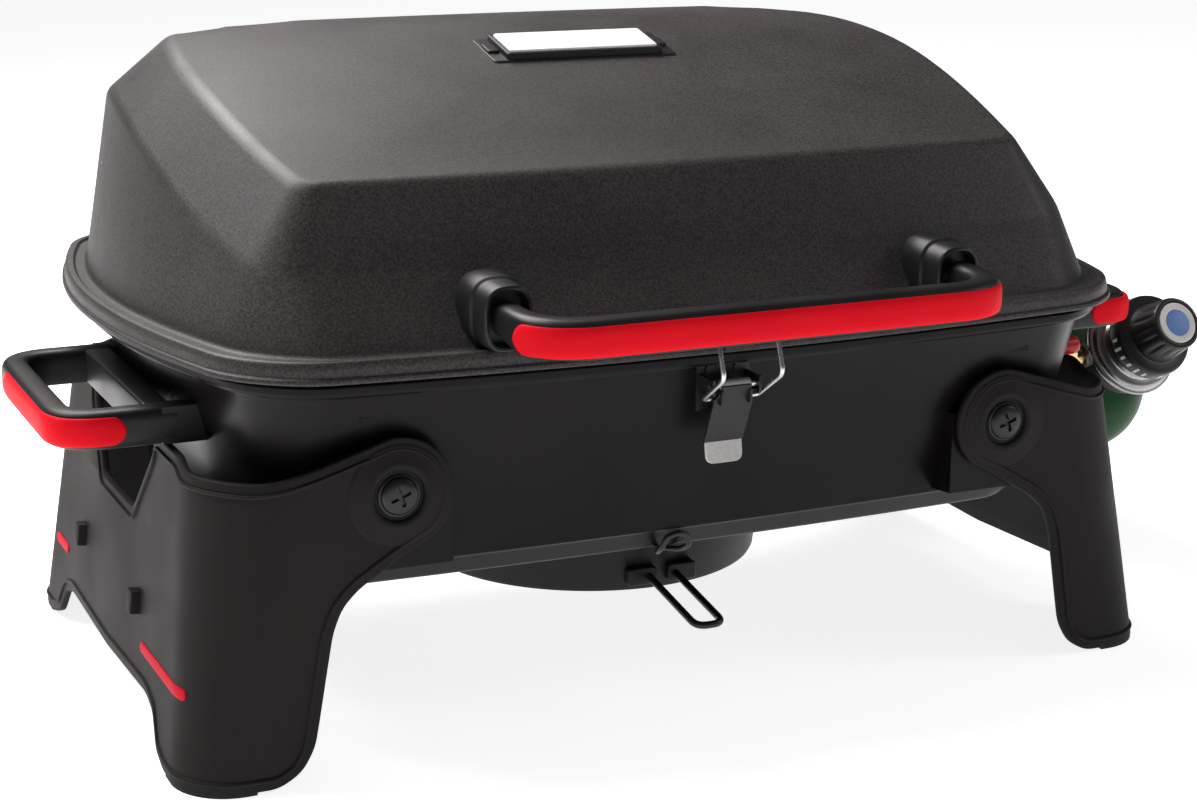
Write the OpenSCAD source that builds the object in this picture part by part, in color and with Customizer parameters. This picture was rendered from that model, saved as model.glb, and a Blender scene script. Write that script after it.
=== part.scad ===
// Portable tabletop gas grill: a hinged hood over a tapered firebox, on two
// U-shaped legs that fold in under it, with a screw-on propane cylinder.
// Millimetres, +Z up, the front of the grill faces -Y.

/* [Hood] */
// Half width of the hood's flange at its widest
flange_x = 282; // [278:1:286]
// Half depth of the hood's flange, before its back is flattened
flange_y = 214; // [211:1:216]
// Height of the flange's upper face above the table
flange_z = 215; // [214:1:216]
// Thickness of the hood's sheet
hood_t = 2; // [1.5:0.5:3]
// Height of the blank name panel
bezel_t = 6; // [4:1:8]

/* [Firebox] */
// Half width of the firebox at its bottom edge
box_x = 240; // [236:1:244]
// How far the firebox's bottom edge lies in front of the middle
box_y = 142; // [140:1:143]
// Height of the firebox's bottom edge
box_z = 101; // [100:1:103]
// Thickness of the firebox's sheet
box_t = 2; // [1.5:0.5:2.5]

/* [Legs] */
// Distance of each leg's pivot from the middle
pivot_x = 175; // [172:1:178]
// Height of the leg pivots
pivot_z = 144; // [143:1:145]
// Radius of the pivot bosses
boss_r = 29; // [27:1:30]
// Outer face of the legs' front wings
wing_y = 163.5; // [163:0.5:166]
// Thickness of the legs' walls
leg_t = 4; // [3:0.5:4]
// Where the end panel would meet the table
panel_x = 286; // [284:1:288]
// Length of the square pegs on the end panels
peg_l = 5; // [4:1:8]

/* [Handles] */
// How far each side handle reaches from the middle
handle_reach = 325; // [322:1:328]
// Height of the side handles' bar
handle_h = 20; // [16:1:20]
// Thickness of the red inlays on the handles
inlay_t = 1; // [0.6:0.2:1.4]
// How far the hood's handle stands out to the front
hood_handle_y = 235; // [230:1:238]
// Half length of the hood's handle
hood_handle_x = 136; // [132:1:140]

/* [Gas] */
// Distance of the regulator's axis from the middle
gas_x = 362; // [361:1:370]
// Radius of the propane cylinder
cylinder_r = 49; // [46:1:49]
// Length of the propane cylinder, from shoulder to base
cylinder_l = 134; // [120:1:136]
// Radius of the regulator's metal cap
cap_r = 31.4; // [30:0.2:31.4]

/* [Grease tray] */
// Radius of the grease tray
tray_r = 101; // [96:1:102]
// Height of the tray's floor above the table
tray_z = 50; // [50:1:52]

/* [Hidden] */
$fn = 48;

// The frame's origin is below the middle of the bounding box, on the table.
hinge_y = 229;
barrel_r = 5;
x_low = -handle_reach - inlay_t;
x_high = gas_x + cylinder_r;
y_low = -hood_handle_y - inlay_t;
y_high = hinge_y + barrel_r;
origin = [(x_low + x_high) / 2, (y_low + y_high) / 2, 0];

black = [0.10, 0.10, 0.10];
dark = [0.17, 0.165, 0.16];
red = [0.80, 0.07, 0.09];
steel = [0.66, 0.66, 0.67];
brass = [0.80, 0.62, 0.25];

module place() translate(-origin) children();

// ---------- outlines and skins ----------
arc_n = 5;
edge_n = 9;

// A rounded rectangle as a closed list of points, counter-clockwise.
function corner_arc(c) = [for (k = [0:arc_n]) let (a = c[3] + 90 * k / arc_n)
    [c[0] + c[2] * cos(a), c[1] + c[2] * sin(a)]];
function between(a, b) = [for (k = [1:edge_n - 1]) a + (b - a) * k / edge_n];
function rounded(x, y, r) =
    let (c = [[x - r, y - r, r, 0], [r - x, y - r, r, 90], [r - x, r - y, r, 180], [x - r, r - y, r, 270]],
         arcs = [for (q = c) corner_arc(q)])
    [for (i = [0:3]) each concat(arcs[i], between(arcs[i][arc_n], arcs[(i + 1) % 4][0]))];

// The same outline with bowed ends and front. The back half is drawn in by
// the factor back, and the whole moved back by shift.
function outline(x, y, r, bow_x, bow_y, shift, back) = [for (p = rounded(x, y, r))
    let (bx = bow_x * pow(p[1] / y, 2) * abs(p[0] / x),
         by = bow_y * pow(p[0] / x, 2) * abs(p[1] / y),
         q = [p[0] - sign(p[0]) * bx, p[1] - sign(p[1]) * by])
    [q[0], shift + (q[1] > 0 ? q[1] * back : q[1])]];
function at_height(o, z) = [for (p = o) [p[0], p[1], z]];

// Faces that join ring after ring of n points each, starting at point first.
function band(first, second, n) = [for (j = [0:n - 1]) let (k = (j + 1) % n)
    each [[first + j, second + j, second + k], [first + j, second + k, first + k]]];
module closed_skin(rings, start, end) {
    n = len(rings[0]);
    m = len(rings);
    last = 1 + (m - 1) * n;
    polyhedron(concat([start], [for (r = rings) each r], [end]),
        concat([for (j = [0:n - 1]) [0, 1 + j, 1 + (j + 1) % n]],
               [for (i = [0:m - 2]) each band(1 + i * n, 1 + (i + 1) * n, n)],
               [for (j = [0:n - 1]) [last + j, 1 + m * n, last + (j + 1) % n]]));
}
module looped_skin(rings) {
    n = len(rings[0]);
    m = len(rings);
    polyhedron([for (r = rings) each r],
        [for (i = [0:m - 1]) each band(i * n, ((i + 1) % m) * n, n)]);
}

module rod(a, b, r) {
    v = b - a;
    l = norm(v);
    translate(a) rotate([0, acos(v[2] / l), atan2(v[1], v[0])]) cylinder(h = l, r = r, $fn = 24);
}
module wire(points, r) for (i = [0:len(points) - 2]) {
    rod(points[i], points[i + 1], r);
    if (i < len(points) - 2) translate(points[i + 1]) sphere(r = r + 0.08, $fn = 24);
}
module along_y(r, from, to) translate([0, from, 0]) rotate([-90, 0, 0]) cylinder(h = to - from, r = r);
module along_x(r, from, to) translate([from, 0, 0]) rotate([0, 90, 0]) cylinder(h = to - from, r = r);
module mirrored_x() { children(); mirror([1, 0, 0]) children(); }
// The legs and what carries them are mirrored about a plane a little behind the middle.
mid_y = 11;
module mirrored_y() { children(); translate([0, 2 * mid_y, 0]) mirror([0, 1, 0]) children(); }

// ---------- hood ----------
hood_shift = 27.6;
hood_back = 0.92;
hood_front = hood_shift - flange_y;

// Heights of the two creases that run round the hood, front to back.
crease1_y = [-135, 115];
crease2_y = [-118, 125];
function crease1(y) = y < crease1_y[1]
    ? 250.6 + 61 * sin(90 * pow(max(0, y - crease1_y[0]) / (crease1_y[1] - crease1_y[0]), 1.35))
    : 311.6 - 0.005 * pow(y - crease1_y[1], 2);
function crease2(y) = y < crease2_y[1]
    ? 291 + 49 * sin(90 * pow(max(0, y - crease2_y[0]) / (crease2_y[1] - crease2_y[0]), 1.1))
    : 340 - 0.007 * pow(y - crease2_y[1], 2);
function crown(y) = 2 + 12 * max(0, y - crease2_y[0]) / 288;

function hood_crease1(t) = [for (p = outline(251 - t, 169.6 - t, 30, 20, 9, hood_shift, hood_back))
    [p[0], p[1], crease1(p[1]) - t * 0.6]];
crease2_outline = [for (p = outline(222, 150.6, 15, 16, 6, hood_shift, hood_back))
    [p[0] * (1 - 0.06 * pow(max(0, p[1]) / 166, 2)), p[1]]];
function top_ring(f, t) = [for (p = crease2_outline)
    let (x = p[0] * f, y = hood_shift + (p[1] - hood_shift) * f)
    [x * (222 - t) / 222, y, crease2(y) + crown(y) * (1 - f * f) - t]];

flange_out = outline(flange_x, flange_y, 42, 36.6, 17.5, hood_shift, hood_back);
skirt_out = outline(flange_x + 1, flange_y + 1, 42, 36.6, 17.5, hood_shift, hood_back);
wall_out = outline(flange_x - 11.5, flange_y - 11.2, 38, 36.3, 14.7, hood_shift, hood_back);
skirt_in = outline(flange_x + 1 - hood_t, flange_y + 1 - hood_t, 42, 36.6, 17.5, hood_shift, hood_back);
flange_in = outline(flange_x - hood_t, flange_y - hood_t, 42, 36.6, 17.5, hood_shift, hood_back);
wall_in = outline(flange_x - 11.5 - hood_t, flange_y - 11.2 - hood_t, 36, 36.3, 14.7, hood_shift, hood_back);
skirt_z = flange_z - 10;
top_steps = [0.85, 0.65, 0.4, 0.15];

module lid() color(dark) place() closed_skin(concat(
    [for (i = [3:-1:0]) top_ring(top_steps[i], hood_t)],
    [top_ring(1, hood_t), hood_crease1(hood_t), at_height(wall_in, flange_z - hood_t),
     at_height(flange_in, flange_z - hood_t), at_height(skirt_in, skirt_z),
     at_height(skirt_out, skirt_z), at_height(flange_out, flange_z), at_height(wall_out, flange_z + 0.6),
     hood_crease1(0), top_ring(1, 0)],
    [for (f = top_steps) top_ring(f, 0)]),
    [0, hood_shift, crease2(hood_shift) + crown(hood_shift) - hood_t],
    [0, hood_shift, crease2(hood_shift) + crown(hood_shift)]);

// The name panel's frame lies on the hood's slope.
bezel_y = 22;
bezel_z = 333;
bezel_tilt = 14;
bezel_w = 112;
bezel_d = 37;
module on_slope() translate([0, bezel_y, bezel_z]) rotate([bezel_tilt, 0, 0]) children();
module lid_bezel() color(black) place() on_slope() {
    translate([0, 0, 1.5]) cube([bezel_w, bezel_d, 3], center = true);
    translate([0, 0, bezel_t / 2]) cube([bezel_w - 17, bezel_d - 4, bezel_t], center = true);
}
module lid_plate() color("white") place() on_slope()
    translate([0, 0, bezel_t + 0.75]) cube([bezel_w - 22, bezel_d - 9, 1.5], center = true);

// ---------- hood handle ----------
handle_z = 229;
boss_z = 232;
boss_x = 126;
boss_front = 186;
handle_r = 24;
bar_t = 16;
// A rectangle x wide to each side, from front to back, whose front corners are round.
module round_front(x, front, back, r) {
    translate([-x, front + r]) square([2 * x, back - front - r]);
    translate([r - x, front]) square([2 * x - 2 * r, back - front]);
    for (s = [-1, 1]) translate([s * (x - r), front + r]) circle(r = r);
}
// The bar and its two arms, seen from above.
module handle_plan(grow) difference() {
    round_front(hood_handle_x + grow, -hood_handle_y - grow, -boss_front, handle_r + grow);
    round_front(hood_handle_x - bar_t + 2, bar_t - hood_handle_y, 1 - boss_front, handle_r - bar_t + 2);
}
module lid_handle() color(black) place()
    translate([0, 0, handle_z - 10]) linear_extrude(20) handle_plan(0);
module lid_handle_inlay() color(red) place() translate([0, 0, handle_z - 7.4]) linear_extrude(14.8)
    intersection() {
        difference() {
            handle_plan(inlay_t);
            handle_plan(0.02);
        }
        translate([4 - hood_handle_x, -hood_handle_y - 5]) square([2 * hood_handle_x - 8, 20]);
    }
module tall_oval(x, z) {
    square([2 * x, 2 * (z - x)], center = true);
    for (s = [-1, 1]) translate([0, s * (z - x)]) circle(r = x);
}
module lid_handle_bosses() color(black) place() mirrored_x() translate([boss_x, 0, boss_z]) difference() {
    union() {
        translate([0, -156, 0]) rotate([90, 0, 0]) linear_extrude(boss_front - 156.2) tall_oval(14, 17.5);
        translate([0, -155, 0]) rotate([90, 0, 0]) linear_extrude(17) tall_oval(16.5, 18.5);
    }
    along_y(3, -200, -150);
}
module lid_handle_screws() color(steel) place() mirrored_x() translate([boss_x, 0, boss_z]) {
    along_y(2.9, -185.5, -150);
    along_y(6, -150, -147);
}

// ---------- firebox ----------
// One level of the firebox's wall: its outline, thinned by t, at a height.
function level(x, y, r, bow_x, bow_y, shift, back, z, t) =
    at_height(outline(x - t, y - t, max(r - t, 6), bow_x, bow_y, shift, back), z);
rim_z = 203;
box_shift = 9;
function wall_levels(t) = [
    level(262, 173, 36, 30, 12, box_shift, 0.96, 178, t),
    level(box_x, box_y + box_shift, 30, 18, 7, box_shift, 1, box_z + t, t)];
function belly_levels(t) = [
    level(box_x - 1.5, box_y + box_shift - 1.5, 29, 18, 7, box_shift, 1, box_z - 7 + t, t),
    level(box_x - 11, box_y + box_shift - 9, 26, 16, 7, box_shift, 1, box_z - 12.5 + t, t),
    level(120, 70, 40, 0, 0, tray_y, 1, box_z - 14 + t, 0),
    level(26, 26, 26, 0, 0, tray_y, 1, box_z - 15 + t, 0)];
module firebox() color(black) place() difference() {
    looped_skin(concat(
        [for (i = [3:-1:0]) belly_levels(0)[i]], [for (i = [1:-1:0]) wall_levels(0)[i]],
        [level(268, 199, 38, 34, 13, hood_shift, hood_back, 196, 0),
         level(276, 207, 40, 35, 15, hood_shift, hood_back, 197, 0),
         level(276, 207, 40, 35, 15, hood_shift, hood_back, rim_z, 0),
         level(268, 199, 38, 34, 13, hood_shift, hood_back, rim_z, box_t),
         level(268, 199, 38, 34, 13, hood_shift, hood_back, 196, box_t)],
        wall_levels(box_t), belly_levels(box_t)));
    translate([0, gas_y, gas_line_z]) along_x(tube_r + 2, 220, 290);
    translate([0, igniter_y, igniter_z]) along_x(igniter_r + 0.5, 215, 290);
}

module leg_brackets() color(black) place() mirrored_x() mirrored_y()
    translate([pivot_x - 30, 0, 0]) rotate([90, 0, 90]) linear_extrude(56)
        polygon([[-wing_y + leg_t + 1, 105], [-139, 103], [-139, 130], [-150, 150],
            [-wing_y + leg_t + 1, 150]]);
module pivot_bolts() color(steel) place() mirrored_x() mirrored_y() translate([pivot_x, 0, pivot_z]) {
    along_y(6, -wing_y - 0.2, -130);
    difference() {
        along_y(11.5, -wing_y - 2.6, -wing_y - 0.1);
        for (a = [0, 90]) rotate([0, a, 0]) translate([-6, -wing_y - 3, -1]) cube([12, 2, 2]);
    }
}

// ---------- grates ----------
grate_z = 187;
grate_y = 146;
module grate_half() translate([0, box_shift, 0]) {
    step = 15.2;
    for (i = [0:14]) rod([7 + i * step, -grate_y, grate_z], [7 + i * step, grate_y, grate_z],
        i % 14 == 0 ? 3.5 : 2.6);
    for (y = [-grate_y, grate_y]) wire([[7, y, grate_z], [7 + 14 * step, y, grate_z]], 3.5);
    for (y = [-60, 60]) rod([7, y, grate_z - 4], [7 + 14 * step, y, grate_z - 4], 2.6);
    for (x = [7, 7 + 14 * step], y = [-grate_y, grate_y]) translate([x, y, grate_z]) sphere(r = 3.5);
}
module cooking_grate_right() color("dimgray") place() grate_half();
module cooking_grate_left() color("dimgray") place() mirror([1, 0, 0]) grate_half();
// Shelves on the firebox's wall: the middle of each, its wall end and its inner end.
shelves = [[40, -163.8, -131], [180, -158.3, -131], [40, 178.3, 149], [180, 172.5, 149]];
module grate_supports() color("dimgray") place() mirrored_x() for (s = shelves)
    translate([s[0] - 12, min(s[1], s[2]), grate_z - 6.05]) cube([24, abs(s[1] - s[2]), 2.5]);

// ---------- burner and gas train ----------
gas_tilt = 61;
gas_y = -19;
gas_line_z = 134;
tube_r = 8;
loop_y = 36;
loop_x = 90;
module burner_tube() color("dimgray") place() translate([0, gas_y, gas_line_z]) {
    difference() {
        union() {
            along_x(tube_r, loop_x + loop_y - 2, 292);
            along_x(tube_r + 3, 286, 300);
        }
        along_x(tube_r - 1.5, 200, 301);
    }
    for (s = [-1, 1]) translate([0, s * loop_y, 0]) along_x(tube_r, -loop_x, loop_x);
    translate([loop_x, 0, 0]) rotate([0, 0, -90]) rotate_extrude(angle = 180)
        translate([loop_y, 0]) circle(r = tube_r);
    translate([-loop_x, 0, 0]) rotate([0, 0, 90]) rotate_extrude(angle = 180)
        translate([loop_y, 0]) circle(r = tube_r);
}
module burner_bracket() color("dimgray") place() translate([-loop_x - loop_y, gas_y, 0]) difference() {
    translate([-10, -10, 87]) cube([20, 20, gas_line_z - tube_r - 86.7]);
    translate([-8, -11, 90]) cube([16, 22, gas_line_z - tube_r - 92]);
}
module heat_tent() color("dimgray") place() translate([0, gas_y, 0]) {
    translate([-150, 0, 0]) rotate([90, 0, 90]) linear_extrude(300)
        polygon([[-62, 148], [-60, 146.5], [0, 166], [60, 146.5], [62, 148], [0, 168.3]]);
    // Tabs that stand on the burner's tubes.
    for (x = [-80, 70], y = [-loop_y, loop_y])
        translate([x, y - 1.5, gas_line_z + tube_r - 0.3]) cube([10, 3, 13.5]);
}
module gas_orifice() color(brass) place() translate([0, gas_y, gas_line_z]) {
    along_x(5.5, 292, 330);
    along_x(9, 303, 322, $fn = 6);
}

// The regulator, its knob and the cylinder share one tilted axis.
gas_axis_y = -31;
gas_axis_z = 141;
module gas_frame() translate([gas_x, gas_axis_y, gas_axis_z]) rotate([gas_tilt, 0, 0]) children();
module regulator_cap() color(steel) place() gas_frame() rotate_extrude()
    polygon([[8, -6], [cap_r - 1.5, -6], [cap_r, -4.5], [cap_r, -1.5], [cap_r - 2, 0], [22, 1.5], [8, 3]]);
module regulator_body() color(black) place() gas_frame() difference() {
    union() {
        translate([0, 0, -22]) cylinder(h = 15.8, r = 26);
        translate([0, 0, -38]) cylinder(h = 17, r = 17);
        cylinder(h = 8, r = 7.8);
        translate([0, 0, -7]) cylinder(h = 8, r = 7.8);
    }
    translate([0, 0, -39]) cylinder(h = 14, r = 12);
}
module regulator_outlet() color(steel) place() translate([0, gas_y, gas_line_z]) {
    along_x(8, 330, 340, $fn = 6);
}
module knob_profile() polygon([[0, 10], [22, 10], [24, 12], [24, 22], [19, 30], [16.5, 44], [15.5, 46],
    [13.2, 46], [13.2, 45], [0, 45]]);
module regulator_knob() color(black) place() gas_frame() difference() {
    rotate_extrude() knob_profile();
    for (a = [0:30:330]) rotate([0, 0, a]) translate([21.8, 0, 25]) cylinder(h = 30, r = 3);
}
module knob_label() color("lightsteelblue") place() gas_frame()
    translate([0, 0, 45.1]) cylinder(h = 1.6, r = 12.6);
shoulder = -64;
// Half of the cylinder's outline, drawn in by inset, with its dome cut off at top.
module cylinder_profile(inset, top) intersection() {
    base = shoulder - cylinder_l + inset;
    union() {
        translate([0, base]) square([cylinder_r - inset, cylinder_l - inset]);
        translate([0, shoulder]) circle(r = cylinder_r - inset - 0.01);
    }
    translate([0, base]) square([cylinder_r, top - base]);
}
module propane_cylinder() color([0.10, 0.27, 0.13]) place() gas_frame() rotate_extrude() difference() {
    cylinder_profile(0, -40);
    cylinder_profile(2, -42);
    translate([-1, -60]) square([9, 21]);
}
module cylinder_collar() color(steel) place() gas_frame() {
    translate([0, 0, -39.9]) cylinder(h = 1.6, r = 16);
    translate([0, 0, -39]) cylinder(h = 13.5, r = 11.95);
}

// ---------- igniter ----------
igniter_y = -100;
igniter_z = 165;
igniter_r = 8;
module igniter_housing() color(black) place() translate([0, igniter_y, igniter_z]) difference() {
    union() {
        along_x(igniter_r, 215, 254);
        along_x(igniter_r + 2.5, 246, 250);
    }
    along_x(5.7, 241, 255);
}
module igniter_button() color(red) place() translate([0, igniter_y, igniter_z]) {
    along_x(5.6, 248, 262);
    translate([262, 0, 0]) intersection() {
        sphere(r = 5.6);
        cube([14, 20, 20], center = true);
    }
}
module igniter_electrode() color("white") place() {
    wire([[214.8, igniter_y, igniter_z], [205, -96, 160], [172, -60, 150]], 1.5);
    translate([172, -60, 141]) cylinder(h = 12, r = 3.5);
}

// ---------- side handles ----------
side_front = -84;
side_back = 70;
side_z = 159;
side_bar = 14;
side_inner = 269.5;
// The right handle, beside the regulator, sits higher than the left one.
right_lift = 9;
function side_height(side) = side_z + (side < 0 ? 0 : right_lift);
// The loop seen from above: its outline grown by grow, with or without its opening.
module side_plan(grow, opened) difference() {
    rounded_box(side_inner, handle_reach + grow, side_front - grow, side_back + grow, 32 + grow);
    if (opened) rounded_box(side_inner + 4.5, handle_reach - side_bar, side_front + side_bar,
        side_back - side_bar, 18);
}
// A rectangle whose two outer corners are round.
module rounded_box(x0, x1, y0, y1, r) intersection() {
    union() {
        translate([x0, y0]) square([x1 - x0 - r, y1 - y0]);
        translate([x0, y0 + r]) square([x1 - x0, y1 - y0 - 2 * r]);
        for (y = [y0 + r, y1 - r]) translate([x1 - r, y]) circle(r = r);
    }
    translate([x0, y0]) square([x1 - x0, y1 - y0]);
}
module side_handle(side) color(black) place() mirror([side < 0 ? 1 : 0, 0, 0])
    translate([0, 0, side_height(side)]) linear_extrude(handle_h) side_plan(0, true);
module side_inlay(side) color(red) place() mirror([side < 0 ? 1 : 0, 0, 0])
    translate([0, 0, side_height(side) + 3]) linear_extrude(handle_h - 6) intersection() {
        difference() {
            side_plan(inlay_t, false);
            side_plan(0.02, false);
        }
        translate([288, -100]) square([60, 136]);
    }
module side_handle_left() side_handle(-1);
module side_handle_right() side_handle(1);
module side_inlay_left() side_inlay(-1);
module side_inlay_right() side_inlay(1);
module handle_brackets() color(black) place()
    for (side = [-1, 1], y = [side_front + 0.5, side_back - side_bar + 0.5])
    mirror([side < 0 ? 1 : 0, 0, 0]) translate([240, y, side_height(side) + 0.5])
        cube([side_inner - 239.5, side_bar - 1, handle_h - 1]);

// ---------- latch ----------
latch_x = -3;
lever_y = -184;
lever_z = 187;
bail_drop = 7;
bail_back = 3.5;
module at_latch() translate([latch_x, 0, 0]) children();
module latch_base() color(steel) place() at_latch() {
    translate([-15, -171.8, 172]) cube([30, 1.5, 26]);
    mirrored_x() difference() {
        translate([12.4, lever_y - 3.5, lever_z - 4]) cube([1.5, -171 - lever_y + 3.5, 8]);
        translate([0, lever_y, lever_z]) along_x(1.55, 10, 16);
    }
    mirrored_x() translate([8, 0, 193]) along_y(2.5, -173, -163);
}
module latch_pin() color(steel) place() at_latch() translate([0, lever_y, lever_z]) along_x(1.5, -14.5, 14.5);
lever_w = 22;
lever_l = 34;
module lever_slope() translate([0, lever_y, lever_z]) rotate([24, 0, 0]) children();
module latch_lever() color([0.25, 0.25, 0.26]) place() at_latch() {
    difference() {
        union() {
            translate([0, lever_y, lever_z]) along_x(3.2, -9, 9);
            lever_slope() rotate([90, 0, 0]) translate([0, 0, 1.8]) linear_extrude(1.4)
                polygon([[-8.5, 0], [-lever_w / 2, -12], [-lever_w / 2, -lever_l],
                    [lever_w / 2, -lever_l], [lever_w / 2, -12], [8.5, 0]]);
            mirrored_x() translate([7.4, lever_y - 2.6, lever_z - 10]) cube([1.4, 9, 10]);
        }
        translate([0, lever_y, lever_z]) along_x(1.55, -12, 12);
        translate([0, lever_y + bail_back, lever_z - bail_drop]) along_x(1.5, -9.9, 9.9);
    }
    // The bent tab at the lever's end.
    lever_slope() translate([0, -3.2, 0.2 - lever_l]) rotate([-34, 0, 0])
        translate([-lever_w / 2 + 2, 0, -11]) cube([lever_w - 4, 1.4, 11.2]);
}
bail_x = 16.4;
module latch_bail() color(steel) place() at_latch() {
    y = lever_y + bail_back;
    z = lever_z - bail_drop;
    wire([[7, y, z], [bail_x - 0.6, y, z], [bail_x, y - 24, z + 16], [bail_x, y - 16, z + 36],
        [-bail_x, y - 16, z + 36], [-bail_x, y - 24, z + 16], [0.6 - bail_x, y, z], [-7, y, z]], 1.4);
}
module lid_catch() color(steel) place() at_latch() {
    translate([-8, hood_front - 3, skirt_z + 1]) cube([16, 1.5, 8]);
    translate([-8, hood_front - 3, skirt_z + 2]) cube([16, 3.4, 2]);
}

// ---------- grease tray ----------
tray_h = 32;
tray_y = 3;
module grease_tray() color(black) place() translate([0, tray_y, tray_z]) difference() {
    union() {
        cylinder(h = tray_h, r1 = tray_r - 4, r2 = tray_r, $fn = 96);
        translate([0, 0, tray_h - 2]) cylinder(h = 2, r = tray_r + 4, $fn = 96);
    }
    translate([0, 0, 1.5]) cylinder(h = tray_h, r1 = tray_r - 5.5, r2 = tray_r - 1.5, $fn = 96);
}
module tray_rails() color(black) place() mirrored_x() translate([tray_r + 7, -58, 0])
    difference() {
        translate([-6, 0, tray_z + tray_h - 5]) cube([12, 174, 11]);
        translate([-7, -1, tray_z + tray_h - 3]) cube([9.5, 176, 4]);
    }
loop_l = 53;
loop_slope = 9.6;
module tray_handle() color(black) place()
    translate([0, 4 - tray_r, tray_z + 10]) rotate([loop_slope, 0, 0]) {
        mirrored_x() translate([8, -loop_l, 0]) rotate([-90, 0, 0]) cylinder(h = loop_l, r = 2);
        translate([0, -loop_l, 0]) rotate([0, 0, 180]) rotate_extrude(angle = 180)
            translate([8, 0]) circle(r = 2);
    }
module tray_lugs() color(black) place() mirrored_x() translate([4, -tray_r, tray_z + 5]) cube([16, 4, 10]);
clip_x = -14;
module tray_clip() color(black) place() translate([clip_x, 0, 0]) mirrored_x()
    wire([
        [0, 18 - box_y, 84.5], [7, 7 - box_y, 86], [8, -box_y - 1, 91],
        [6, -box_y - 2, 97], [0, -box_y - 2, 98.5]],
        1.3);

// ---------- hinges ----------
hinge_x = 150;
knuckle_z = 207;
module knuckle(from, to) translate([0, hinge_y, knuckle_z]) difference() {
    along_x(barrel_r, from, to);
    along_x(2.05, from - 1, to + 1);
}
module hinge_lid_leaves() color(steel) place() mirrored_x() translate([hinge_x, 0, 0]) {
    knuckle(-9.5, 9.5);
    difference() {
        translate([-9.5, 222, knuckle_z]) cube([19, 3.4, flange_z + 2.6 - knuckle_z]);
        translate([-20, hinge_y, knuckle_z]) rotate([0, 90, 0]) cylinder(h = 40, r = 2.05);
    }
    translate([-9.5, 206, flange_z + 0.8]) cube([19, 18, 1.8]);
}
module hinge_box_leaves() color(steel) place() mirrored_x() translate([hinge_x, 0, 0]) {
    for (s = [-1, 1]) knuckle(s * 15 - 5, s * 15 + 5);
    translate([-20, hinge_y - 1, 190]) cube([40, 2, 11.5]);
    translate([-20, 200, 190]) cube([40, 30, 2]);
    for (s = [-1, 1]) translate([s * 15 - 5, hinge_y - 1, 190]) cube([10, 2, 13]);
}
module hinge_pins() color(steel) place() mirrored_x() translate([hinge_x, hinge_y, knuckle_z]) {
    along_x(2, -21, 21);
    for (s = [-1, 1]) translate([s * 21, 0, 0]) sphere(r = 3);
}

// ---------- warming rack ----------
rack_y = 100;
rack_z = 272;
rack_x = 205;
module rack_rod() color(steel) place() translate([0, rack_y, rack_z]) along_x(2.5, -253, 253);
module warming_rack() color(steel) place() {
    mirrored_x() translate([rack_x, 0, 0]) {
        difference() {
            union() {
                translate([0, rack_y, rack_z]) along_x(5, -2, 2);
                translate([-1.5, rack_y - 3, rack_z - 14]) cube([3, 6, 11]);
            }
            translate([0, rack_y, rack_z]) along_x(2.55, -5, 5);
        }
        rod([0, 0, rack_z - 14], [0, rack_y + 4, rack_z - 14], 2.5);
    }
    for (y = [0, rack_y + 4]) wire([[-rack_x, y, rack_z - 14], [rack_x, y, rack_z - 14]], 2.5);
    for (x = [-rack_x, rack_x], y = [0, rack_y + 4]) translate([x, y, rack_z - 14]) sphere(r = 2.5);
    for (i = [1:5]) rod([-rack_x, 17 * i, rack_z - 14], [rack_x, 17 * i, rack_z - 14], 1.6);
}

// ---------- legs ----------
lean = 0.12;
panel_angle = atan(lean);
bend_r = 46;
foot_in = 222;
// A leg seen from the front: its boss, its swept wing and all of its end panel.
module leg_side() {
    translate([pivot_x, pivot_z]) circle(r = boss_r);
    polygon([
        [pivot_x - 4, pivot_z + boss_r - 0.3], [pivot_x + 4, pivot_z + boss_r - 0.3],
        [207, 163], [232, 156.5], [252, 154], [262, 157], [300, 157], [300, 3],
        [foot_in + 14, 3], [foot_in + 5, 8], [foot_in - 1, 19], [foot_in - 5, 36], [foot_in - 9, 56],
        [foot_in - 13, 77], [foot_in - 18, 89], [foot_in - 26, 97], [foot_in - 48, 110],
        [pivot_x - 19, pivot_z - 22]
    ]);
}
// The sheet's U-shaped section: two wings joined to the end panel by round bends.
module rounded_plan(inset) translate([-200 - inset, inset - wing_y])
    round_end(200, 2 * (wing_y + mid_y - inset), bend_r - inset);
module round_end(w, d, r) {
    square([w - r, d]);
    translate([0, r]) square([w, d - 2 * r]);
    for (y = [r, d - r]) translate([w - r, y]) circle(r = r);
}
module u_section() difference() {
    rounded_plan(0);
    rounded_plan(leg_t);
    translate([-210, -wing_y - 1]) square([50, 2 * (wing_y + mid_y) + 2]);
}
// Openings in the end panel, seen from the side: a notch at the top and an arch between the feet.
notch = [[-54, 180], [-52, 146], [-21, 110], [44, 110], [75, 146], [77, 180]];
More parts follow.
